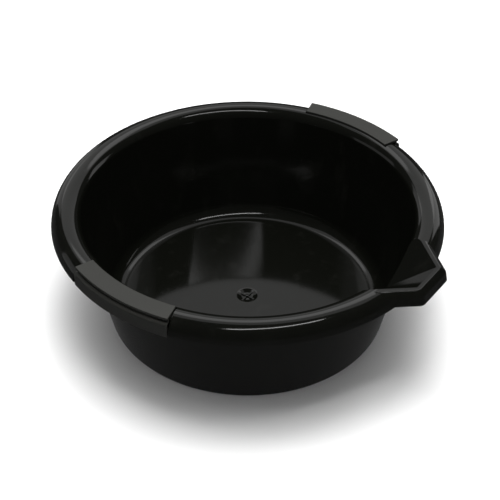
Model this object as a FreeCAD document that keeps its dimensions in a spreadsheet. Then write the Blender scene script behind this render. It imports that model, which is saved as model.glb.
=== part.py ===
import FreeCAD, Part

"""Oil drain pan: a moulded round basin with a rolled rim, a pouring spout and two clip-on grip covers.

Frame: +Z up, origin on the basin's axis at the level it stands on, spout towards +X.
Lengths are millimetres and angles are degrees.
"""

import math
import os

import Sketcher

# ---------------------------------------------------------------- driving dimensions

DIMENSIONS = {
    # basin
    "pan_height": 123.4,        # standing level to the top of the rim
    "rim_radius": 185.0,        # outermost radius, on the rim's skirt
    "rim_width": 26.0,          # skirt to where the inner wall's line meets the rim's top level
    "base_inset": 49.0,         # rim's outermost radius to the outside of the foot
    "wall": 2.4,                # moulded wall thickness
    "foot_height": 3.0,         # floor's underside above the standing level
    "foot_width": 5.0,          # radial width of the foot ring
    "floor_round": 17.0,        # radius between the inner wall and the floor
    "foot_round": 3.0,          # radius between the foot ring and the outer wall
    # rim
    "rim_roll": 15.8,           # radius of the rolled rim down to the skirt
    "mouth_round": 12.5,        # radius from the rim's top to the inner wall
    "rim_depth": 16.0,          # top of the rim to the bottom edge of its skirt
    # spout
    "spout_overhang": 6.4,      # pouring edge beyond the rim's outermost radius
    "spout_mouth": 33.6,        # width of the pouring edge
    "spout_splay": 40.0,        # angle of each side wall from the spout's axis
    "spout_fall": 38.0,         # height of the ramp from the wall up to the pouring edge
    "spout_foot": 10.0,         # width of the ramp's lower end
    "lip_width": 4.2,           # flat top edge around the spout
    "lip_drop": 4.4,            # height of the sloping band below the lip
    "lip_slope": 5.0,           # how far that band reaches outward
    "spout_depth": 12.6,        # lip to the bottom edge of the spout's skirt
    "spout_flare": 1.6,         # further outward lean of the spout's skirt
    "spout_round": 3.0,         # corner radius of the spout's skirt, seen from above
    # moulding gate in the middle of the floor
    "gate_radius": 10.5,        # recess in the floor
    "gate_depth": 2.2,
    "gate_slope": 5.0,          # width of the recess's sloping side
    "gate_nub": 1.6,            # radius of the cut-off sprue
    "gate_rib": 1.5,            # width of the cross ribs
    # grips
    "grip_angle": 86.9,         # direction of the grips' common axis from the spout
    "grip_length": 102.0,       # along the middle of the rim
    "grip_width": 17.8,         # radial width of the top plate
    "grip_margin": 2.7,         # top plate's outer edge inside the skirt
    "grip_inset": 0.8,          # outer flange inside the skirt's outermost radius
    "grip_proud": 1.6,          # top plate over the rim
    "grip_plate": 2.6,          # thickness of the top plate
    "grip_wall": 2.0,           # thickness of the two flanges
    "grip_reach": 4.0,          # height of the inner flange under the plate
    "grip_groove": 2.4,         # height of the shadow groove under the plate's outer edge
    "grip_undercut": 1.8,       # depth of that groove
    "grip_hook": 2.0,           # thickness of the snap hook under the skirt
    "fit_gap": 0.2,             # clearance between a cover and the rim all round
    "end_gap": 0.9,             # visible joint at each end of a cover
}

doc = FreeCAD.newDocument("oil_drain_pan")
sheet = doc.addObject("Spreadsheet::Sheet", "Dims")
for row, (alias, value) in enumerate(DIMENSIONS.items(), start=1):
    sheet.set(f"A{row}", alias)
    sheet.set(f"B{row}", str(value))
    sheet.setAlias(f"B{row}", alias)
doc.recompute()


def dims(text):
    """Turn a formula on plain size names into one on the spreadsheet's cells."""
    words = []
    word = ""
    for letter in text + " ":
        if letter.isalnum() or letter == "_":
            word += letter
            continue
        words.append("Dims." + word if word in DIMENSIONS else word)
        words.append(letter)
        word = ""
    return "".join(words).strip()


def number(text):
    """Value of a formula on the sheet's sizes."""
    return float(sheet.evalExpression(dims(text)))


# ---------------------------------------------------------------- formulas shared by several features

MOUTH_RADIUS = "(rim_radius - rim_width)"
BASE_RADIUS = "(rim_radius - base_inset)"
WALL_SLOPE = f"(({MOUTH_RADIUS} - {BASE_RADIUS} + wall) / (pan_height - foot_height - wall))"
FLOOR_TOP = "(foot_height + wall)"
RIM_MIDDLE = "(rim_radius - rim_roll)"
SKIRT_BOTTOM = "(pan_height - rim_depth)"
ABOVE = "(pan_height + 4 * wall)"
BELOW_SKIRT = "(pan_height - 2 * rim_depth)"

SPOUT_REACH = "(rim_radius + spout_overhang)"
SPOUT_BACK = f"({MOUTH_RADIUS} - 4 * wall)"
SPOUT_FOOT_LEVEL = "(pan_height - spout_fall)"
SPOUT_FOOT_REACH = f"({MOUTH_RADIUS} - {WALL_SLOPE} * spout_fall - wall)"
SPOUT_FOOT_BACK = f"({SPOUT_FOOT_REACH} - {SPOUT_REACH} + {SPOUT_BACK})"
SPOUT_LEAN = f"(wall * ({SPOUT_REACH} - {SPOUT_FOOT_REACH}) / spout_fall)"

GRIP_EDGE = "(rim_radius - grip_margin)"
GRIP_INNER = f"({GRIP_EDGE} - grip_width)"
PLATE_BOTTOM = "(pan_height + grip_proud - grip_plate)"
GROOVE_BOTTOM = f"({PLATE_BOTTOM} - grip_groove)"
FLANGE_OUTER = "(rim_radius - grip_inset)"
NECK_OUTER = f"({GRIP_EDGE} - grip_undercut)"
NECK_INNER = f"({NECK_OUTER} - grip_wall)"
SEAT_TOP = f"({PLATE_BOTTOM} - fit_gap)"
SEAT_FACE = f"({GRIP_INNER} - fit_gap)"
SEAT_INNER = f"({GRIP_INNER} + grip_wall + fit_gap)"
SEAT_OUTER = f"({NECK_INNER} - fit_gap)"
SEAT_LEDGE = f"({PLATE_BOTTOM} - grip_reach - fit_gap)"
HOOK_TOP = f"({SKIRT_BOTTOM} - fit_gap)"
HOOK_TIP = f"({SEAT_OUTER} - wall / 2)"
GRIP_ANGLE = f"(grip_length / {RIM_MIDDLE} * 180 / pi)"
SEAT_ANGLE = f"((grip_length + 2 * end_gap) / {RIM_MIDDLE} * 180 / pi)"
RAIL_ANGLE = f"((grip_length + 2 * end_gap + 2 * wall) / {RIM_MIDDLE} * 180 / pi)"


# ---------------------------------------------------------------- sketches

def plane_of(body, role):
    for feature in body.Origin.OriginFeatures:
        if feature.Role == role:
            return feature
    raise RuntimeError(f"{body.Label} has no {role}")


def level_sketch(body, name, level):
    """A sketch parallel to the ground at a height given by a formula."""
    sketch = body.newObject("Sketcher::SketchObject", name)
    sketch.AttachmentSupport = [(plane_of(body, "XY_Plane"), "")]
    sketch.MapMode = "FlatFace"
    sketch.setExpression("AttachmentOffset.Base.z", dims(level))
    doc.recompute()
    return sketch


def radial_sketch(body, name, direction):
    """An upright sketch through the pan's axis: across is radius, up is height."""
    sketch = body.newObject("Sketcher::SketchObject", name)
    sketch.AttachmentSupport = [(plane_of(body, "XZ_Plane"), "")]
    sketch.MapMode = "FlatFace"
    sketch.AttachmentOffset = FreeCAD.Placement(
        FreeCAD.Vector(0, 0, 0), FreeCAD.Rotation(FreeCAD.Vector(0, 1, 0), number(direction)))
    if direction != "0":
        sketch.setExpression("AttachmentOffset.Rotation.Angle", dims(direction))
    doc.recompute()
    return sketch


def fix_point(sketch, geometry, point, x_formula, y_formula):
    """Tie a point of the sketch to the sheet by its two distances from the origin."""
    for kind, formula in (("DistanceX", x_formula), ("DistanceY", y_formula)):
        index = sketch.addConstraint(Sketcher.Constraint(kind, geometry, point, number(formula)))
        sketch.setExpression(f"Constraints[{index}]", dims(formula))


def corner(x_formula, y_formula, round_formula=None):
    """A corner of an outline: its place and its radius."""
    place = FreeCAD.Vector(number(x_formula), number(y_formula), 0)
    return {"x": x_formula, "y": y_formula, "round": round_formula, "place": place}


def tangent_points(before, here, after, radius):
    """Ends and middle of the arc that rounds a corner between two straight sides."""
    to_before = (before - here).normalize()
    to_after = (after - here).normalize()
    half = to_before.getAngle(to_after) / 2
    run = radius / math.tan(half)
    centre = here + (to_before + to_after).normalize() * (radius / math.sin(half))
    middle = centre + (here - centre).normalize() * radius
    return here + to_before * run, middle, here + to_after * run


def draw_outline(sketch, corners):
    """Draw a closed outline through the corners, with its rounded corners as tangent arcs."""
    count = len(corners)
    starts, ends, arcs = {}, {}, {}
    for i, spot in enumerate(corners):
        starts[i] = ends[i] = spot["place"]
        if spot["round"]:
            before = corners[i - 1]["place"]
            after = corners[(i + 1) % count]["place"]
            ends[i], middle, starts[i] = tangent_points(before, spot["place"], after, number(spot["round"]))
            arcs[i] = Part.Arc(ends[i], middle, starts[i])
    sides = {}
    for i, spot in enumerate(corners):
        following = (i + 1) % count
        sides[i] = sketch.addGeometry(Part.LineSegment(starts[i], ends[following]), False)

    def end_at(geometry, place):
        near_start = sketch.getPoint(geometry, 1).distanceToPoint(place)
        near_end = sketch.getPoint(geometry, 2).distanceToPoint(place)
        return 1 if near_start < near_end else 2

    for i, spot in enumerate(corners):
        arriving = sides[(i - 1) % count]
        leaving = sides[i]
        if i not in arcs:
            first = end_at(arriving, spot["place"])
            second = end_at(leaving, spot["place"])
            sketch.addConstraint(Sketcher.Constraint("Coincident", arriving, first, leaving, second))
            fix_point(sketch, leaving, second, spot["x"], spot["y"])
            continue
        arc = sketch.addGeometry(arcs[i], False)
        mark = sketch.addGeometry(Part.Point(spot["place"]), True)
        fix_point(sketch, mark, 1, spot["x"], spot["y"])
        for side, place in ((arriving, ends[i]), (leaving, starts[i])):
            side_end = end_at(side, place)
            arc_end = end_at(arc, place)
            sketch.addConstraint(Sketcher.Constraint("Tangent", side, side_end, arc, arc_end))
            sketch.addConstraint(Sketcher.Constraint("PointOnObject", mark, 1, side))
        index = sketch.addConstraint(Sketcher.Constraint("Radius", arc, number(spot["round"])))
        sketch.setExpression(f"Constraints[{index}]", dims(spot["round"]))


# ---------------------------------------------------------------- features

def volume(body):
    doc.recompute()
    return body.Shape.Volume if body.Tip else 0.0


def turned(body, kind, name, corners, angle=None, direction="0"):
    """Turn a radial outline about the pan's axis, all round or over an angle centred on a direction."""
    before = volume(body)
    sketch = radial_sketch(body, name + "_outline", direction)
    draw_outline(sketch, corners)
    feature = body.newObject("PartDesign::" + kind, name)
    feature.Profile = sketch
    feature.ReferenceAxis = (sketch, ["V_Axis"])
    if angle:
        feature.Midplane = True
        feature.setExpression("Angle", dims(angle))
    else:
        feature.Angle = 360.0
    expect_change(body, name, before, kind == "Revolution")
    return feature


def lofted(body, kind, name, sections):
    """Loft straight sides between level outlines, given as pairs of height and corners."""
    before = volume(body)
    sketches = []
    for i, (level, corners) in enumerate(sections):
        sketch = level_sketch(body, f"{name}_outline_{i}", level)
        draw_outline(sketch, corners)
        sketches.append(sketch)
    doc.recompute()
    feature = body.newObject("PartDesign::" + kind, name)
    feature.Profile = sketches[0]
    feature.Sections = sketches[1:]
    feature.Ruled = True
    expect_change(body, name, before, kind == "AdditiveLoft")
    return feature


def expect_change(body, name, before, adding):
    after = volume(body)
    if adding and after <= before or not adding and after >= before:
        raise RuntimeError(f"{name} changed nothing: {before:.1f} to {after:.1f} mm3")


def spout_section(offset, reach=SPOUT_REACH, width="spout_mouth", back=SPOUT_BACK, bend=None):
    """Plan of the spout at one level: a square-ended funnel whose sides splay towards the basin.

    The outline lies a distance outside the given reach, so walls keep their thickness.
    """
    tip = f"({reach} + {offset})"
    half = f"({width} / 2 + {offset} * tan(45 - spout_splay / 2))"
    root = f"({half} + ({tip} - {back}) * tan(spout_splay))"
    return [
        corner(back, f"-{root}"),
        corner(tip, f"-{half}", bend),
        corner(tip, half, bend),
        corner(back, root),
    ]


# ---------------------------------------------------------------- basin

pan = doc.addObject("PartDesign::Body", "pan")
pan.Label = "pan"

turned(pan, "Revolution", "rim_cap", [
    corner("0", SKIRT_BOTTOM),
    corner("rim_radius", SKIRT_BOTTOM),
    corner("rim_radius", "pan_height", "rim_roll"),
    corner("0", "pan_height"),
])

lofted(pan, "AdditiveLoft", "spout_hood", [
    ("pan_height - spout_depth", spout_section("(lip_width + lip_slope + spout_flare)", bend="spout_round")),
    ("pan_height - lip_drop", spout_section("(lip_width + lip_slope)", bend="spout_round")),
    ("pan_height", spout_section("lip_width", bend="spout_round")),
])

turned(pan, "Groove", "rim_hollow", [
    corner("0", BELOW_SKIRT),
    corner("rim_radius - wall", BELOW_SKIRT),
    corner("rim_radius - wall", "pan_height - wall", "rim_roll - wall"),
    corner("0", "pan_height - wall"),
])
lofted(pan, "SubtractiveLoft", "spout_hood_hollow", [
    (BELOW_SKIRT, spout_section("(lip_width + lip_slope + spout_flare - wall)", bend="spout_round / 2")),
    ("pan_height - lip_drop - wall / 2", spout_section("(lip_width + lip_slope - wall)", bend="spout_round / 2")),
    ("pan_height - wall", spout_section("(lip_width - wall / 2)", bend="spout_round / 2")),
])

# ---------------------------------------------------------------- rails that the grips clip over

GRIPS = (("left_grip", "grip_angle"), ("right_grip", "(grip_angle + 180)"))

for grip, direction in GRIPS:
    turned(pan, "Revolution", grip + "_rail", [
        corner(MOUTH_RADIUS, SKIRT_BOTTOM),
        corner("rim_radius - wall / 2", SKIRT_BOTTOM),
        corner("rim_radius - wall / 2", "pan_height - wall / 2", "rim_roll - wall / 2"),
        corner(MOUTH_RADIUS, "pan_height - wall / 2"),
    ], RAIL_ANGLE, direction)
    turned(pan, "Groove", grip + "_rail_hollow", [
        corner(MOUTH_RADIUS, BELOW_SKIRT),
        corner(f"{SEAT_OUTER} - wall", BELOW_SKIRT),
        corner(f"{SEAT_OUTER} - wall", f"{SEAT_TOP} - wall", "2 * wall"),
        corner(f"{SEAT_INNER} + wall", f"{SEAT_TOP} - wall"),
        corner(f"{SEAT_INNER} + wall", f"{SEAT_LEDGE} - wall"),
        corner(MOUTH_RADIUS, f"{SEAT_LEDGE} - wall"),
    ], SEAT_ANGLE, direction)

# ---------------------------------------------------------------- bowl under the rim, and its cavity

turned(pan, "Revolution", "bowl", [
    corner("0", "foot_height - gate_depth"),
    corner("gate_radius + wall", "foot_height - gate_depth"),
    corner("gate_radius + wall", "foot_height"),
    corner(f"{BASE_RADIUS} - foot_width", "foot_height"),
    corner(f"{BASE_RADIUS} - foot_width", "0"),
    corner(BASE_RADIUS, "0", "foot_round"),
    corner(f"{MOUTH_RADIUS} + wall - {WALL_SLOPE} * wall", "pan_height - wall", "mouth_round - wall"),
    corner(RIM_MIDDLE, "pan_height - wall"),
    corner(RIM_MIDDLE, "pan_height - wall / 2"),
    corner("0", "pan_height - wall / 2"),
])
lofted(pan, "AdditiveLoft", "spout_wall", [
    (f"{SPOUT_FOOT_LEVEL} - wall", spout_section("wall", SPOUT_FOOT_REACH, "spout_foot", SPOUT_FOOT_BACK)),
    ("pan_height - wall / 2", spout_section("wall")),
])

turned(pan, "Groove", "cavity", [
    corner("0", FLOOR_TOP),
    corner(f"{BASE_RADIUS} - wall", FLOOR_TOP, "floor_round"),
    corner(MOUTH_RADIUS, "pan_height", "mouth_round"),
    corner(RIM_MIDDLE, "pan_height"),
    corner(RIM_MIDDLE, ABOVE),
    corner("0", ABOVE),
])
lofted(pan, "SubtractiveLoft", "spout_channel", [
    (SPOUT_FOOT_LEVEL, spout_section("0", SPOUT_FOOT_REACH, "spout_foot", SPOUT_FOOT_BACK)),
    ("pan_height + wall", spout_section(SPOUT_LEAN)),
])

# ---------------------------------------------------------------- seats that the grips drop into

for grip, direction in GRIPS:
    turned(pan, "Groove", grip + "_seat", [
        corner(SEAT_FACE, SEAT_LEDGE),
        corner(SEAT_INNER, SEAT_LEDGE),
        corner(SEAT_INNER, SEAT_TOP),
        corner(SEAT_OUTER, SEAT_TOP),
        corner(SEAT_OUTER, BELOW_SKIRT),
        corner("rim_radius + 4 * wall", BELOW_SKIRT),
        corner("rim_radius + 4 * wall", ABOVE),
        corner(SEAT_FACE, ABOVE),
    ], SEAT_ANGLE, direction)

# ---------------------------------------------------------------- gate mark: a dished recess with ribs

turned(pan, "Groove", "gate_recess", [
    corner("0", f"{FLOOR_TOP} - gate_depth"),
    corner("gate_radius - gate_slope", f"{FLOOR_TOP} - gate_depth"),
    corner("gate_radius", FLOOR_TOP),
    corner("0", FLOOR_TOP),
])
turned(pan, "Revolution", "gate_sprue", [
    corner("0", "foot_height"),
    corner("gate_nub", "foot_height"),
    corner("gate_nub", FLOOR_TOP),
    corner("0", FLOOR_TOP),
])
for rib, direction in (("gate_rib_across", "0"), ("gate_rib_along", "grip_angle")):
    before = volume(pan)
    outline = level_sketch(pan, rib + "_outline", f"{FLOOR_TOP} - gate_depth")
    outline.setExpression("AttachmentOffset.Rotation.Angle", dims(direction))
    draw_outline(outline, [
        corner("-(gate_radius - gate_slope / 2)", "-gate_rib / 2"),
        corner("gate_radius - gate_slope / 2", "-gate_rib / 2"),
        corner("gate_radius - gate_slope / 2", "gate_rib / 2"),
        corner("-(gate_radius - gate_slope / 2)", "gate_rib / 2"),
    ])
    doc.recompute()
    pad = pan.newObject("PartDesign::Pad", rib)
    pad.Profile = outline
    pad.setExpression("Length", dims("gate_depth / 2"))
    expect_change(pan, rib, before, True)

# ---------------------------------------------------------------- grip covers

covers = []
for grip, direction in GRIPS:
    cover = doc.addObject("PartDesign::Body", grip)
    cover.Label = grip
    covers.append(cover)
    turned(cover, "Revolution", grip + "_saddle", [
        corner(GRIP_INNER, f"{PLATE_BOTTOM} - grip_reach"),
        corner(f"{GRIP_INNER} + grip_wall", f"{PLATE_BOTTOM} - grip_reach"),
        corner(f"{GRIP_INNER} + grip_wall", PLATE_BOTTOM),
        corner(NECK_INNER, PLATE_BOTTOM),
        corner(NECK_INNER, f"{GROOVE_BOTTOM} - grip_wall"),
        corner(f"{FLANGE_OUTER} - grip_wall", f"{GROOVE_BOTTOM} - grip_wall"),
        corner(f"{FLANGE_OUTER} - grip_wall", HOOK_TOP),
        corner(HOOK_TIP, HOOK_TOP),
        corner(HOOK_TIP, f"{HOOK_TOP} - grip_hook"),
        corner(FLANGE_OUTER, f"{HOOK_TOP} - grip_hook"),
        corner(FLANGE_OUTER, GROOVE_BOTTOM, "1.5 * grip_wall"),
        corner(NECK_OUTER, GROOVE_BOTTOM),
        corner(NECK_OUTER, PLATE_BOTTOM),
        corner(GRIP_EDGE, PLATE_BOTTOM),
        corner(GRIP_EDGE, "pan_height + grip_proud"),
        corner(GRIP_INNER, "pan_height + grip_proud"),
    ], GRIP_ANGLE, direction)

# ---------------------------------------------------------------- checks and files

doc.recompute()
for item in doc.Objects:
    if "Invalid" in item.State or "Error" in item.State:
        raise RuntimeError(f"{item.Name} failed: {item.State}")
for piece in [pan] + covers:
    shape = piece.Shape
    if shape.isNull() or not shape.isValid() or len(shape.Solids) != 1:
        raise RuntimeError(f"{piece.Label} is not one valid solid")

os.makedirs("parts", exist_ok=True)
for piece in [pan] + covers:
    piece.Shape.exportStep(f"parts/{piece.Label}.step")
    print(f"{piece.Label}: {piece.Shape.Volume / 1000:.1f} cm3")
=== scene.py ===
import math

import bpy
from mathutils import Matrix, Vector


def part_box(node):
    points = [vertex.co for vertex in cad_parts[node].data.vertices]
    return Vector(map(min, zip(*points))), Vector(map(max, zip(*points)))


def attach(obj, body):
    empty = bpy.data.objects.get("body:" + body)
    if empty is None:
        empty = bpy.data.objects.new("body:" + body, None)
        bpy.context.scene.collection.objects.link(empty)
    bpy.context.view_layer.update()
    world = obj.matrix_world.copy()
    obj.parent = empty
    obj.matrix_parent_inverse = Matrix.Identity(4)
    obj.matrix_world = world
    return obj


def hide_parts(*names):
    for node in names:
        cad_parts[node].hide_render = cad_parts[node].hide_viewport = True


bl_info = {
    "name": "Oil Drain Pan",
    "version": (1, 0, 0),
    "blender": (4, 5, 0),
    "location": "3D View > Sidebar > Drain Pan",
    "description": "Models a moulded oil drain pan with clip-on grips around its fixed frame, and its studio",
    "category": "Object",
}

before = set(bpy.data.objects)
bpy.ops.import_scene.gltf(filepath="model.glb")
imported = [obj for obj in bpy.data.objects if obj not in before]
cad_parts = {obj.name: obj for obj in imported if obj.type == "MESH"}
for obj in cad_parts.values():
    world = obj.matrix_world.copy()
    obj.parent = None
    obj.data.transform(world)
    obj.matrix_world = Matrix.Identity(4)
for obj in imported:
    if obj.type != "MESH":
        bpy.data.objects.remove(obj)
bpy.context.view_layer.update()
PAN_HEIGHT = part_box("pan")[1].z
MM = 0.001

SHARED_POINT = 0.002 * MM       # outline points nearer than this are one
SEAM = 0.004 * MM               # vertices nearer than this are merged when a shape is closed
CUT_SEAM = 0.02 * MM            # the same after the booleans


# ---------------------------------------------------------------- sizes and colours

def length(name, description, default):
    return bpy.props.FloatProperty(name=name, description=description, default=default, min=0.0,
                                   unit="LENGTH", precision=5)


def angle(name, description, degrees):
    return bpy.props.FloatProperty(name=name, description=description, default=math.radians(degrees),
                                   unit="ROTATION")


def share(name, description, default):
    return bpy.props.FloatProperty(name=name, description=description, default=default, min=0.0, max=1.0)


def colour(name, description, default):
    return bpy.props.FloatVectorProperty(name=name, description=description, default=default, size=3,
                                         subtype="COLOR", min=0.0, max=1.0)


class BasinSizes(bpy.types.PropertyGroup):
    rim_radius: length("Rim radius", "Outermost radius, on the rim's skirt", 185 * MM)
    rim_width: length("Rim width", "Skirt to where the inner wall's line meets the top", 26 * MM)
    base_inset: length("Base inset", "Rim's outermost radius to the outside of the foot", 49 * MM)
    wall: length("Wall", "Moulded wall thickness", 2.4 * MM)
    foot_height: length("Foot height", "Floor's underside over the standing level", 3 * MM)
    foot_width: length("Foot width", "Radial width of the foot ring", 5 * MM)
    floor_round: length("Floor round", "Radius between the inner wall and the floor", 17 * MM)
    foot_round: length("Foot round", "Radius between the foot ring and the outer wall", 3 * MM)
    rim_roll: length("Rim roll", "Radius of the rolled rim down to the skirt", 15.8 * MM)
    mouth_round: length("Mouth round", "Radius from the rim's top to the inner wall", 12.5 * MM)
    rim_depth: length("Rim depth", "Top of the rim to the bottom edge of its skirt", 16 * MM)
    gate_radius: length("Gate radius", "Moulding recess in the middle of the floor", 10.5 * MM)
    gate_depth: length("Gate depth", "Depth of that recess", 2.2 * MM)
    gate_slope: length("Gate slope", "Width of its sloping side", 5 * MM)
    gate_nub: length("Gate nub", "Radius of the cut-off sprue", 1.6 * MM)
    gate_rib: length("Gate rib", "Width of the cross ribs in the recess", 1.5 * MM)
    turns: bpy.props.IntProperty(name="Facets", description="Facets around the basin", default=288, min=24)


class SpoutSizes(bpy.types.PropertyGroup):
    overhang: length("Overhang", "Pouring edge beyond the rim's outermost radius", 6.4 * MM)
    mouth: length("Mouth", "Width of the pouring edge", 33.6 * MM)
    splay: angle("Splay", "Angle of each side wall from the spout's axis", 40)
    fall: length("Fall", "Height of the ramp up to the pouring edge", 38 * MM)
    foot: length("Foot", "Width of the ramp's lower end", 10 * MM)
    lip_width: length("Lip width", "Flat top edge around the spout", 4.2 * MM)
    lip_drop: length("Lip drop", "Height of the sloping band below the lip", 4.4 * MM)
    lip_slope: length("Lip slope", "How far that band reaches outward", 5 * MM)
    depth: length("Depth", "Lip to the bottom edge of the spout's skirt", 12.6 * MM)
    flare: length("Flare", "Further outward lean of the spout's skirt", 1.6 * MM)
    corner: length("Corner", "Corner radius of the spout's skirt seen from above", 3 * MM)
    edge: length("Edge", "Softening of the spout's moulded edges", 0.7 * MM)


class GripSizes(bpy.types.PropertyGroup):
    direction: angle("Direction", "Direction of the grips' common axis from the spout", 86.9)
    length: length("Length", "Length along the middle of the rim", 102 * MM)
    width: length("Width", "Radial width of the top plate", 17.8 * MM)
    margin: length("Margin", "Top plate's outer edge inside the skirt", 2.7 * MM)
    inset: length("Inset", "Outer flange inside the skirt's outermost radius", 0.8 * MM)
    proud: length("Proud", "Top plate over the rim", 1.6 * MM)
    plate: length("Plate", "Thickness of the top plate", 2.6 * MM)
    wall: length("Flange", "Thickness of the two flanges", 2 * MM)
    reach: length("Reach", "Height of the inner flange under the plate", 4 * MM)
    groove: length("Groove", "Height of the shadow groove under the plate's edge", 2.4 * MM)
    undercut: length("Undercut", "Depth of that groove", 1.8 * MM)
    hook: length("Hook", "Thickness of the snap hook under the skirt", 2 * MM)
    fit_gap: length("Fit gap", "Clearance between a cover and the rim", 0.2 * MM)
    end_gap: length("End gap", "Visible joint at each end of a cover", 0.9 * MM)
    edge: length("Edge", "Softening of the cover's edges", 0.5 * MM)


class FinishSettings(bpy.types.PropertyGroup):
    pan_colour: colour("Pan colour", "Black polypropylene of the pan", (0.0027, 0.0029, 0.0022))
    scuff_colour: colour("Scuff colour", "Greyed plastic in the worn places", (0.014, 0.014, 0.012))
    pan_roughness: share("Pan roughness", "Polished mould finish", 0.09)
    grip_colour: colour("Grip colour", "Matte plastic of the grip covers", (0.0175, 0.0178, 0.0155))
    grip_roughness: share("Grip roughness", "Fine eroded texture of the covers", 0.5)


class StudioSettings(bpy.types.PropertyGroup):
    azimuth: angle("Azimuth", "Camera's turn around the pan from the -Y side", 35.5)
    elevation: angle("Elevation", "Camera's height over the horizon", 38.86)
    distance: length("Distance", "Camera to the middle of the pan", 1.2)
    aim_height: length("Aim height", "Height of the point the camera looks at", 60 * MM)
    lens: bpy.props.FloatProperty(name="Lens", description="Focal length in mm", default=88.87)
    shift_x: bpy.props.FloatProperty(name="Shift X", description="Sideways lens shift", default=0.005)
    shift_y: bpy.props.FloatProperty(name="Shift Y", description="Upright lens shift", default=0.0046)
    roll: angle("Roll", "Turn of the camera about its own view line", 0.4)
    floor_colour: colour("Floor colour", "Pale paper sweep", (0.9, 0.9, 0.9))
    world_below: share("World below", "Strength of the world under the horizon, seen in the gloss", 0.07)
    world_above: share("World above", "Strength of the world over the horizon", 0.03)
    world_blend: share("World blend", "Half the height over which the two change over", 0.05)


GROUPS = {
    "pan_basin": BasinSizes,
    "pan_spout": SpoutSizes,
    "pan_grips": GripSizes,
    "pan_finish": FinishSettings,
    "pan_studio": StudioSettings,
}


# ---------------------------------------------------------------- mesh work

def deselect():
    if bpy.context.object and bpy.context.object.mode != "OBJECT":
        bpy.ops.object.mode_set(mode="OBJECT")
    bpy.ops.object.select_all(action="DESELECT")


def activate(piece):
    deselect()
    piece.select_set(True)
    bpy.context.view_layer.objects.active = piece


def arc(before, here, after, radius, steps=6):
    """Points of the arc that rounds a corner of an outline."""
    before, here, after = Vector(before), Vector(here), Vector(after)
    to_before = (before - here).normalized()
    to_after = (after - here).normalized()
    half = to_before.angle(to_after) / 2
    run = radius / math.tan(half)
    centre = here + (to_before + to_after).normalized() * (radius / math.sin(half))
    start = here + to_before * run - centre
    sweep = math.pi - 2 * half
    side = 1 if start.cross(here - centre) > 0 else -1
    return [centre + Matrix.Rotation(side * sweep * i / steps, 2) @ start for i in range(steps + 1)]


def outline(corners):
    """Radius and height points of a closed outline; a corner may have a radius and a number of steps."""
    points = []
    count = len(corners)
    for i, spot in enumerate(corners):
        if len(spot) == 2:
            points.append(Vector(spot))
            continue
        points += arc(corners[i - 1][:2], spot[:2], corners[(i + 1) % count][:2], *spot[2:])
    return points


def draw_face(name, points):
    """Draw a closed flat outline by extruding one vertex along it, fill it and stay in edit mode."""
    deselect()
    bpy.ops.mesh.primitive_plane_add(size=1 * MM, location=points[0])
    piece = bpy.context.object
    piece.name = name
    bpy.ops.object.transform_apply(location=True, rotation=True, scale=True)
    bpy.ops.object.mode_set(mode="EDIT")
    bpy.ops.mesh.select_mode(type="VERT")
    bpy.ops.mesh.select_all(action="SELECT")
    bpy.ops.mesh.merge(type="CENTER")
    for here, there in zip(points, points[1:] + points[:1]):
        bpy.ops.mesh.extrude_vertices_move(TRANSFORM_OT_translate={"value": there - here})
    bpy.ops.mesh.select_all(action="SELECT")
    bpy.ops.mesh.remove_doubles(threshold=SHARED_POINT)
    bpy.ops.mesh.select_all(action="SELECT")
    bpy.ops.mesh.edge_face_add()
    bpy.ops.mesh.select_all(action="SELECT")
    return piece


def close_up(threshold=SEAM):
    """Merge doubles, turn faces outward and leave edit mode."""
    bpy.ops.mesh.select_all(action="SELECT")
    bpy.ops.mesh.remove_doubles(threshold=threshold)
    bpy.ops.mesh.select_all(action="SELECT")
    bpy.ops.mesh.normals_make_consistent(inside=False)
    bpy.ops.object.mode_set(mode="OBJECT")


def turned(name, points, turns, sweep=None, direction=0.0):
    """Spin an outline about the pan's axis, all round or over an angle centred on a direction."""
    begin = direction - (sweep or 0.0) / 2
    across = Vector((math.cos(begin), math.sin(begin), 0))
    placed = [across * p[0] + Vector((0, 0, p[1])) for p in points]
    piece = draw_face(name, placed)
    if sweep:
        steps = max(8, round(turns * sweep / math.tau))
        bpy.ops.mesh.spin(steps=steps, angle=-sweep, center=(0, 0, 0), axis=(0, 0, 1))
    else:
        bpy.ops.mesh.delete(type="ONLY_FACE")
        bpy.ops.mesh.select_all(action="SELECT")
        bpy.ops.mesh.spin(steps=turns, angle=-math.tau, center=(0, 0, 0), axis=(0, 0, 1))
    close_up()
    return piece


def lofted(name, sections):
    """Raise a flat outline through further level outlines with the same number of corners."""
    level, first = sections[0]
    piece = draw_face(name, [Vector((x, y, level)) for x, y in first])
    before, below = level, first
    for level, corners in sections[1:]:
        bpy.ops.mesh.extrude_region_move(TRANSFORM_OT_translate={"value": (0, 0, level - before)})
        bpy.ops.object.mode_set(mode="OBJECT")
        places = {}
        for i, (x, y) in enumerate(below):
            spot = Vector((x, y, level))
            places[i] = min(piece.data.vertices, key=lambda v: (v.co - spot).length).index
        for i, (x, y) in enumerate(corners):
            shift = Vector((x - below[i][0], y - below[i][1], 0))
            clear_selection(piece.data)
            piece.data.vertices[places[i]].select = True
            bpy.ops.object.mode_set(mode="EDIT")
            bpy.ops.mesh.select_mode(type="VERT")
            bpy.ops.transform.translate(value=shift)
            bpy.ops.object.mode_set(mode="OBJECT")
        select_faces(piece, lambda f: abs(f.center.z - level) < 0.01 * MM)
        before, below = level, corners
    close_up()
    return piece


def clear_selection(mesh):
    for item in (*mesh.vertices, *mesh.edges, *mesh.polygons):
        item.select = False


def select_faces(piece, wanted):
    """Select the faces for which wanted is true and go to edit mode."""
    clear_selection(piece.data)
    for face in piece.data.polygons:
        face.select = wanted(face)
    bpy.ops.object.mode_set(mode="EDIT")
    bpy.ops.mesh.select_mode(type="FACE")


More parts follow.
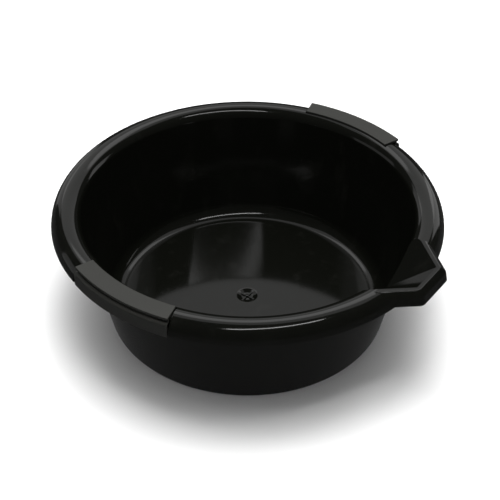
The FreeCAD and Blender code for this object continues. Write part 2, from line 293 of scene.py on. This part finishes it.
def select_edges(piece, wanted):
    """Select the edges for which wanted(start, end) is true and go to edit mode."""
    mesh = piece.data
    clear_selection(mesh)
    for edge in mesh.edges:
        edge.select = wanted(*(mesh.vertices[i].co for i in edge.vertices))
    if not any(edge.select for edge in mesh.edges):
        raise RuntimeError(f"{piece.name}: no edge to select")
    bpy.ops.object.mode_set(mode="EDIT")
    bpy.ops.mesh.select_mode(type="EDGE")


def combine(piece, tool, operation):
    """Join a tool shape to the piece or cut it out, and remove the tool."""
    activate(piece)
    step = piece.modifiers.new(operation, "BOOLEAN")
    step.operation = operation
    step.solver = "EXACT"
    step.object = tool
    before = len(piece.data.polygons)
    bpy.ops.object.modifier_apply(modifier=step.name)
    if len(piece.data.polygons) == before or not piece.data.polygons:
        raise RuntimeError(f"{piece.name}: {tool.name} changed nothing")
    bpy.data.objects.remove(tool)


def smooth(piece, degrees):
    activate(piece)
    bpy.ops.object.shade_smooth_by_angle(angle=math.radians(degrees))


def finish_piece(piece, node, material):
    """Even out the shading, put the material on, and let the piece stand for its plain node."""
    activate(piece)
    normals = piece.modifiers.new("normals", "WEIGHTED_NORMAL")
    normals.keep_sharp = True
    bpy.ops.object.modifier_apply(modifier=normals.name)
    piece.data.materials.clear()
    piece.data.materials.append(material)
    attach(piece, "root")
    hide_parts(node)


# ---------------------------------------------------------------- shader work

class Socket:
    """A shader output that arithmetic can be done on; each operation adds its Math node."""

    def __init__(self, tree, link):
        self.tree = tree
        self.link = link

    def math(self, operation, first, second):
        return self.tree.node("ShaderNodeMath", {"operation": operation}, {0: first, 1: second})

    def __add__(self, other):
        return self.math("ADD", self, other)

    def __sub__(self, other):
        return self.math("SUBTRACT", self, other)

    def __mul__(self, other):
        return self.math("MULTIPLY", self, other)

    __radd__ = __add__


class Tree:
    """A material's nodes."""

    def __init__(self, name):
        self.material = bpy.data.materials.new(name)
        self.material.use_nodes = True
        self.nodes = self.material.node_tree.nodes
        self.links = self.material.node_tree.links
        self.shader = self.nodes["Principled BSDF"]

    def plug(self, socket, value):
        if isinstance(value, Socket):
            self.links.new(value.link, socket)
        else:
            socket.default_value = value

    def node(self, kind, settings=None, sockets=None, out=0):
        """Add a node with its settings and its sockets' values or links, and give one output."""
        node = self.nodes.new(kind)
        for name, value in (settings or {}).items():
            if name == "stops":
                for i, (place, tone) in enumerate(value):
                    stop = node.color_ramp.elements[i] if i < 2 else node.color_ramp.elements.new(place)
                    stop.position = place
                    stop.color = (tone, tone, tone, 1)
                continue
            setattr(node, name, value)
        for key, value in (sockets or {}).items():
            self.plug(node.inputs[key], value)
        return Socket(self, node.outputs[out])

    def place(self, stretch=(1, 1, 1)):
        """Object coordinates in metres, stretched for a pattern."""
        where = self.node("ShaderNodeTexCoord", out="Object")
        return self.node("ShaderNodeMapping", {"vector_type": "POINT"}, {"Vector": where, "Scale": stretch})

    def noise(self, scale, detail=2.0, roughness=0.5, stretch=(1, 1, 1)):
        return self.node("ShaderNodeTexNoise", {}, {
            "Vector": self.place(stretch), "Scale": scale, "Detail": detail, "Roughness": roughness})

    def ramp(self, value, stops):
        return self.node("ShaderNodeValToRGB", {"stops": stops}, {"Fac": value})

    def mix(self, factor, first, second):
        return self.node("ShaderNodeMix", {"data_type": "RGBA"}, {0: factor, 6: first, 7: second}, out=2)

    def bump(self, height, strength, distance):
        return self.node("ShaderNodeBump", {}, {"Height": height, "Strength": strength, "Distance": distance})

    def set(self, **values):
        for name, value in values.items():
            self.plug(self.shader.inputs[name.replace("_", " ")], value)


def rgba(tone):
    return (*tone, 1.0)


def pan_plastic(finish):
    """Black moulded polypropylene with a polished cavity, faint flow ripple and light scuffs."""
    tree = Tree("pan_plastic")
    cloud = tree.noise(9.0, 3.0)
    grain = tree.noise(900.0, 2.0)
    scuffs = tree.ramp(tree.noise(60.0, 4.0, 0.65, (1, 1, 0.35)), [(0.56, 0.0), (0.78, 1.0)])
    wear = scuffs * 0.22
    tree.set(
        Base_Color=tree.mix(wear, rgba(finish.pan_colour), rgba(finish.scuff_colour)),
        Roughness=finish.pan_roughness + cloud * 0.04 + wear * 0.3 - 0.02,
        IOR=1.49,
        Normal=tree.bump(grain * 0.3 + cloud, 0.25, 0.02 * MM),
    )
    return tree.material


def grip_plastic(finish):
    """Matte plastic with a fine eroded texture."""
    tree = Tree("grip_plastic")
    erosion = tree.noise(1400.0, 3.0, 0.6)
    cloud = tree.noise(30.0, 2.0)
    tree.set(
        Base_Color=tree.mix(cloud * 0.3, rgba(finish.grip_colour), rgba(finish.scuff_colour)),
        Roughness=finish.grip_roughness + cloud * 0.08 - 0.04,
        IOR=1.49,
        Normal=tree.bump(erosion, 0.35, 0.05 * MM),
    )
    return tree.material


def sweep_paper(studio):
    tree = Tree("sweep_paper")
    tree.set(
        Base_Color=rgba(studio.floor_colour),
        Roughness=0.9 + tree.noise(40.0) * 0.05,
        Specular_IOR_Level=0.0,
    )
    return tree.material


# ---------------------------------------------------------------- shapes of the pan

class PanShape:
    """Outlines of the pan and its covers, worked out from the sizes."""

    def __init__(self, scene):
        b, s, g = scene.pan_basin, scene.pan_spout, scene.pan_grips
        self.b, self.s, self.g = b, s, g
        self.mouth = b.rim_radius - b.rim_width
        self.base = b.rim_radius - b.base_inset
        self.floor = b.foot_height + b.wall
        self.slope = (self.mouth - self.base + b.wall) / (PAN_HEIGHT - self.floor)
        self.skirt_bottom = PAN_HEIGHT - b.rim_depth
        self.middle = b.rim_radius - b.rim_roll
        self.above = PAN_HEIGHT + 4 * b.wall
        self.below = PAN_HEIGHT - 2 * b.rim_depth
        self.plate_bottom = PAN_HEIGHT + g.proud - g.plate
        self.groove_bottom = self.plate_bottom - g.groove
        self.cover_edge = b.rim_radius - g.margin
        self.cover_inner = self.cover_edge - g.width
        self.flange = b.rim_radius - g.inset
        self.neck_outer = self.cover_edge - g.undercut
        self.neck_inner = self.neck_outer - g.wall
        self.seat_top = self.plate_bottom - g.fit_gap
        self.seat_face = self.cover_inner - g.fit_gap
        self.seat_inner = self.cover_inner + g.wall + g.fit_gap
        self.seat_outer = self.neck_inner - g.fit_gap
        self.seat_ledge = self.plate_bottom - g.reach - g.fit_gap
        self.hook_top = self.skirt_bottom - g.fit_gap
        self.hook_tip = self.seat_outer - b.wall / 2
        self.grip_sweep = g.length / self.middle
        self.seat_sweep = (g.length + 2 * g.end_gap) / self.middle

    def shell(self):
        """The whole moulding's outline: outside from the axis up over the rim, then the inside back down."""
        b = self.b
        points = outline([
            (0, b.foot_height - b.gate_depth),
            (b.gate_radius + b.wall, b.foot_height - b.gate_depth),
            (b.gate_radius + b.wall, b.foot_height),
            (self.base - b.foot_width, b.foot_height, 0.8 * MM),
            (self.base - b.foot_width, 0, 0.6 * MM),
            (self.base, 0, b.foot_round),
            (self.mouth + b.wall - self.slope * b.wall, PAN_HEIGHT - b.wall, b.mouth_round - b.wall, 16),
            (b.rim_radius - b.wall, PAN_HEIGHT - b.wall, b.mouth_round - b.wall, 16),
            (b.rim_radius - b.wall, self.skirt_bottom, 0.5 * MM, 3),
            (b.rim_radius, self.skirt_bottom, 0.7 * MM, 4),
            (b.rim_radius, PAN_HEIGHT, b.rim_roll, 26),
            (self.mouth, PAN_HEIGHT, b.mouth_round, 26),
            (self.base - b.wall, self.floor, b.floor_round, 14),
            (b.gate_radius, self.floor, 3 * MM, 5),
            (b.gate_radius - b.gate_slope, self.floor - b.gate_depth, 3 * MM, 5),
            (b.gate_nub, self.floor - b.gate_depth, 0.3 * MM, 2),
            (b.gate_nub, self.floor, 0.4 * MM, 3),
            (0, self.floor),
        ])
        skirt = [i for i, p in enumerate(points) if p.x > b.rim_radius - 0.001 * MM]
        return [p for i, p in enumerate(points) if i != skirt[1]]

    def spout_plan(self, offset, reach=None, width=None, back=None):
        """Plan of the spout at one level, a distance outside the given reach."""
        s = self.s
        reach = reach or self.b.rim_radius + s.overhang
        width = width or s.mouth
        back = back or self.mouth - 4 * self.b.wall
        tip = reach + offset
        half = width / 2 + offset * math.tan(math.radians(45) - s.splay / 2)
        root = half + (tip - back) * math.tan(s.splay)
        return [(back, -root), (tip, -half), (tip, half), (back, root)]

    def spout_foot(self, offset):
        b, s = self.b, self.s
        reach = self.mouth - self.slope * s.fall - b.wall
        back = reach - (b.rim_radius + s.overhang) + self.mouth - 4 * b.wall
        return self.spout_plan(offset, reach, s.foot, back)


def soften(piece, wanted, offset, segments):
    select_edges(piece, wanted)
    bpy.ops.mesh.bevel(offset=offset, offset_type="OFFSET", segments=segments, profile=0.5, affect="EDGES",
                       clamp_overlap=False)
    close_up()


def model_spout(shape):
    """The spout's outer shape: a hood with a sloping band, on a wall that widens upward."""
    b, s = shape.b, shape.s
    band = PAN_HEIGHT - s.lip_drop
    top = PAN_HEIGHT - 0.05 * MM
    hood = lofted("hood", [
        (PAN_HEIGHT - s.depth, shape.spout_plan(s.lip_width + s.lip_slope + s.flare)),
        (band, shape.spout_plan(s.lip_width + s.lip_slope)),
        (top, shape.spout_plan(s.lip_width)),
    ])
    ahead = b.rim_radius
    soften(hood, lambda p, q: min(p.x, q.x) > ahead and abs(p.z - q.z) > 1 * MM, s.corner, 5)
    soften(hood, lambda p, q: abs(p.z - q.z) < 0.1 * MM and p.z > band - 1 * MM
           and (max(p.x, q.x) > ahead), s.edge, 3)
    hollow = lofted("hood_hollow", [
        (shape.below, shape.spout_plan(s.lip_width + s.lip_slope + s.flare - b.wall)),
        (band - b.wall / 2, shape.spout_plan(s.lip_width + s.lip_slope - b.wall)),
        (PAN_HEIGHT - b.wall, shape.spout_plan(s.lip_width - b.wall / 2)),
    ])
    soften(hollow, lambda p, q: min(p.x, q.x) > ahead and abs(p.z - q.z) > 1 * MM, s.corner / 2, 3)
    combine(hood, hollow, "DIFFERENCE")
    wall = lofted("spout_wall", [
        (PAN_HEIGHT - s.fall - b.wall, shape.spout_foot(b.wall)),
        (PAN_HEIGHT - b.wall / 2, shape.spout_plan(b.wall)),
    ])
    combine(hood, wall, "UNION")
    inside = turned("inside", outline([
        (0, shape.floor),
        (shape.base - b.wall / 2, shape.floor),
        (shape.mouth + b.wall / 2, PAN_HEIGHT - b.wall / 2, b.mouth_round - b.wall / 2, 12),
        (shape.middle, PAN_HEIGHT - b.wall / 2),
        (shape.middle, shape.above),
        (0, shape.above),
    ]), b.turns)
    combine(hood, inside, "DIFFERENCE")
    return hood


def model_channel(shape):
    """What is cut out of the spout: its ramp and splayed walls, with a softened top edge."""
    b, s = shape.b, shape.s
    reach = b.rim_radius + s.overhang
    foot_reach = shape.mouth - shape.slope * s.fall - b.wall
    lean = (reach - foot_reach) / s.fall
    turning = 0.35 * s.edge
    over_lip = 1 * MM
    return lofted("channel", [
        (PAN_HEIGHT - s.fall, shape.spout_foot(0)),
        (PAN_HEIGHT - s.edge, shape.spout_plan(-turning * lean)),
        (PAN_HEIGHT - turning, shape.spout_plan(0.25 * s.edge)),
        (PAN_HEIGHT + over_lip, shape.spout_plan(0.65 * s.edge + 1.4 * over_lip)),
    ])


def model_rail(shape, name, direction):
    """The rail under a cover, under the rim's own surface."""
    b, g = shape.b, shape.g
    inner = shape.cover_inner - 1.9 * b.wall
    foot = shape.skirt_bottom + 0.1 * MM
    face = b.rim_radius - b.wall / 2
    crest = PAN_HEIGHT - b.wall / 2
    points = outline([
        (inner, shape.seat_ledge - b.wall),
        (shape.seat_inner + b.wall, shape.seat_ledge - b.wall),
        (shape.seat_inner + b.wall, shape.seat_top - b.wall),
        (shape.seat_outer - b.wall, shape.seat_top - b.wall, 2 * b.wall, 5),
        (shape.seat_outer - b.wall, foot),
        (face, foot),
        (face, crest, b.rim_roll - b.wall / 2, 10),
        (shape.cover_inner, crest),
        (inner, shape.seat_ledge),
    ])
    return turned(name, points, b.turns, shape.seat_sweep + 2 * b.wall / shape.middle, direction)


def model_seat(shape, name, direction):
    """What is cut out of the rim where a cover sits."""
    outside = shape.b.rim_radius + 4 * shape.b.wall
    points = outline([
        (shape.seat_face, shape.seat_ledge),
        (shape.seat_inner, shape.seat_ledge),
        (shape.seat_inner, shape.seat_top),
        (shape.seat_outer, shape.seat_top),
        (shape.seat_outer, shape.below),
        (outside, shape.below),
        (outside, shape.above),
        (shape.seat_face, shape.above),
    ])
    return turned(name, points, shape.b.turns, shape.seat_sweep, direction)


def model_gate_rib(shape, name, direction):
    b = shape.b
    reach = b.gate_radius - b.gate_slope / 2
    half = b.gate_rib / 2
    bottom = shape.floor - b.gate_depth
    top = bottom + b.gate_depth / 2
    turn = Matrix.Rotation(direction, 2)
    plan = [tuple(turn @ Vector(p)) for p in ((-reach, -half), (reach, -half), (reach, half), (-reach, half))]
    return lofted(name, [(bottom - b.wall / 4, plan), (top, plan)])


class MESH_OT_drain_pan(bpy.types.Operator):
    """Model the pan: basin, rolled rim, spout, rails and the moulding gate"""
    bl_idname = "mesh.drain_pan"
    bl_label = "Pan"

    def execute(self, context):
        shape = PanShape(context.scene)
        pan = turned("pan_moulding", shape.shell(), shape.b.turns)
        combine(pan, model_spout(shape), "UNION")
        combine(pan, model_channel(shape), "DIFFERENCE")
        for name, turn in (("left", 0.0), ("right", math.pi)):
            direction = shape.g.direction + turn
            combine(pan, model_rail(shape, name + "_rail", direction), "UNION")
            combine(pan, model_seat(shape, name + "_seat", direction), "DIFFERENCE")
        for name, direction in (("across", 0.0), ("along", shape.g.direction)):
            combine(pan, model_gate_rib(shape, "gate_rib_" + name, direction), "UNION")
        activate(pan)
        bpy.ops.object.mode_set(mode="EDIT")
        close_up(CUT_SEAM)
        smooth(pan, 24)
        finish_piece(pan, "pan", pan_plastic(context.scene.pan_finish))
        return {"FINISHED"}


class MESH_OT_drain_pan_grips(bpy.types.Operator):
    """Model the two grip covers that clip over the rim"""
    bl_idname = "mesh.drain_pan_grips"
    bl_label = "Grip covers"

    def execute(self, context):
        shape = PanShape(context.scene)
        material = grip_plastic(context.scene.pan_finish)
        for name, turn in (("left_grip", 0.0), ("right_grip", math.pi)):
            cover = self.model_cover(shape, name + "_cover", shape.g.direction + turn)
            finish_piece(cover, name, material)
        return {"FINISHED"}

    def model_cover(self, shape, name, direction):
        g = shape.g
        top = PAN_HEIGHT + g.proud
        inner_reach = shape.plate_bottom - g.reach
        corners = [
            (shape.cover_inner, inner_reach),
            (shape.cover_inner + g.wall, inner_reach),
            (shape.cover_inner + g.wall, shape.plate_bottom),
            (shape.neck_inner, shape.plate_bottom),
            (shape.neck_inner, shape.groove_bottom - g.wall),
            (shape.flange - g.wall, shape.groove_bottom - g.wall),
            (shape.flange - g.wall, shape.hook_top),
            (shape.hook_tip, shape.hook_top),
            (shape.hook_tip, shape.hook_top - g.hook),
            (shape.flange, shape.hook_top - g.hook),
            (shape.flange, shape.groove_bottom, 1.5 * g.wall),
            (shape.neck_outer, shape.groove_bottom),
            (shape.neck_outer, shape.plate_bottom),
            (shape.cover_edge, shape.plate_bottom),
            (shape.cover_edge, top),
            (shape.cover_inner, top),
        ]
        cover = turned(name, outline(corners), shape.b.turns, shape.grip_sweep, direction)
        activate(cover)
        rounding = cover.modifiers.new("edges", "BEVEL")
        rounding.width = g.edge
        rounding.segments = 3
        rounding.limit_method = "ANGLE"
        rounding.angle_limit = math.radians(50)
        rounding.use_clamp_overlap = True
        bpy.ops.object.modifier_apply(modifier=rounding.name)
        smooth(cover, 40)
        return cover


# ---------------------------------------------------------------- studio

def add_panel_light(name, place, aim, size, energy, seen):
    """A rectangular light at a place, turned to an aim; unseen ones don't show in the gloss."""
    light = bpy.data.lights.new(name, "AREA")
    light.shape = "RECTANGLE"
    light.size, light.size_y = size
    light.energy = energy
    lamp = bpy.data.objects.new(name, light)
    bpy.context.scene.collection.objects.link(lamp)
    lamp.location = place
    lamp.rotation_euler = (Vector(aim) - Vector(place)).to_track_quat("-Z", "Y").to_euler()
    lamp.visible_glossy = seen


def around(azimuth, distance, height):
    """A place a distance from the pan's axis, in the direction the camera faces turned by an angle."""
    return Vector((-math.sin(azimuth) * distance, math.cos(azimuth) * distance, height))


class OBJECT_OT_drain_pan_studio(bpy.types.Operator):
    """Set up the pale floor, the soft lights and the camera"""
    bl_idname = "object.drain_pan_studio"
    bl_label = "Studio"

    def execute(self, context):
        studio = context.scene.pan_studio
        deselect()
        under_foot = (0, 0, -0.05 * MM)
        bpy.ops.mesh.primitive_circle_add(vertices=96, radius=3.0, fill_type="NGON", location=under_foot)
        floor = context.object
        floor.name = "studio_floor"
        bpy.ops.object.transform_apply(location=True)
        floor.data.materials.append(sweep_paper(studio))
        floor.visible_glossy = False
        world = bpy.data.worlds.new("studio")
        world.use_nodes = True
        nodes, links = world.node_tree.nodes, world.node_tree.links
        where = nodes.new("ShaderNodeTexCoord")
        split = nodes.new("ShaderNodeSeparateXYZ")
        shade = nodes.new("ShaderNodeMapRange")
        shade.inputs["From Min"].default_value = -studio.world_blend
        shade.inputs["From Max"].default_value = studio.world_blend
        shade.inputs["To Min"].default_value = studio.world_below
        shade.inputs["To Max"].default_value = studio.world_above
        links.new(where.outputs["Generated"], split.inputs["Vector"])
        links.new(split.outputs["Z"], shade.inputs["Value"])
        links.new(shade.outputs["Result"], nodes["Background"].inputs["Strength"])
        nodes["Background"].inputs["Color"].default_value = (1, 1, 1, 1)
        context.scene.world = world
        self.add_lights(studio)
        self.add_camera(context, studio)
        context.scene.view_settings.view_transform = "Standard"
        return {"FINISHED"}

    def add_lights(self, studio):
        turn = studio.azimuth
        foot = (0, 0, 0)
        mouth = (0, 0, 0.1)
        rim_right = around(turn - math.pi / 2, 0.18, 0.12)
        add_panel_light("overhead", (0, 0, 1.6), foot, (0.9, 0.9), 23, False)
        add_panel_light("fill", (0, 0, 2.4), foot, (4.0, 4.0), 66, False)
        add_panel_light("window", around(turn, 1.5, 1.9), mouth, (3.2, 2.8), 16, True)
        add_panel_light("window_core", around(turn, 1.2, 1.8), mouth, (2.2, 0.7), 5, True)
        add_panel_light("strip", around(turn + math.pi + 0.45, 0.6, 1.82), mouth, (1.1, 0.11), 4, True)
        add_panel_light("left_side", around(turn + 0.56, 2.0, 0.4), mouth, (0.75, 1.1), 1.1, True)
        add_panel_light("left_front", around(turn + 1.5, 2.0, 0.35), mouth, (1.3, 0.9), 1.2, True)
        add_panel_light("right_side", around(turn - 0.93, 0.5, 0.24), rim_right, (0.2, 0.2), 0.11, True)

    def add_camera(self, context, studio):
        lens = bpy.data.cameras.new("camera")
        lens.lens = studio.lens
        lens.sensor_width = 36
        lens.shift_x = studio.shift_x
        lens.shift_y = studio.shift_y
        lens.dof.use_dof = False
        lens.clip_start = 0.05
        camera = bpy.data.objects.new("camera", lens)
        context.scene.collection.objects.link(camera)
        tilt = Matrix.Rotation(math.pi / 2 - studio.elevation, 4, "X")
        spin = Matrix.Rotation(studio.azimuth, 4, "Z")
        roll = Matrix.Rotation(studio.roll, 4, "Z")
        back = spin @ tilt @ roll
        aim = Vector((0, 0, studio.aim_height))
        view_line = (spin @ tilt).to_3x3() @ Vector((0, 0, studio.distance))
        camera.matrix_world = Matrix.Translation(aim + view_line) @ back
        context.scene.camera = camera


# ---------------------------------------------------------------- add-on

class VIEW3D_PT_drain_pan(bpy.types.Panel):
    bl_label = "Oil Drain Pan"
    bl_idname = "VIEW3D_PT_drain_pan"
    bl_space_type = "VIEW_3D"
    bl_region_type = "UI"
    bl_category = "Drain Pan"

    def draw(self, context):
        for operator, groups in STEPS:
            box = self.layout.box()
            box.operator(operator.bl_idname)
            for group in groups:
                settings = getattr(context.scene, group)
                for name in settings.bl_rna.properties.keys():
                    if name not in ("rna_type", "name"):
                        box.prop(settings, name)


STEPS = (
    (MESH_OT_drain_pan, ("pan_basin", "pan_spout", "pan_finish")),
    (MESH_OT_drain_pan_grips, ("pan_grips",)),
    (OBJECT_OT_drain_pan_studio, ("pan_studio",)),
)


def register():
    for name, group in GROUPS.items():
        bpy.utils.register_class(group)
        setattr(bpy.types.Scene, name, bpy.props.PointerProperty(type=group))
    for operator, _ in STEPS:
        bpy.utils.register_class(operator)
    bpy.utils.register_class(VIEW3D_PT_drain_pan)


def unregister():
    bpy.utils.unregister_class(VIEW3D_PT_drain_pan)
    for operator, _ in reversed(STEPS):
        bpy.utils.unregister_class(operator)
    for name, group in GROUPS.items():
        delattr(bpy.types.Scene, name)
        bpy.utils.unregister_class(group)


def main():
    register()
    bpy.ops.mesh.drain_pan()
    bpy.ops.mesh.drain_pan_grips()
    bpy.ops.object.drain_pan_studio()


if __name__ == "__main__":
    main()
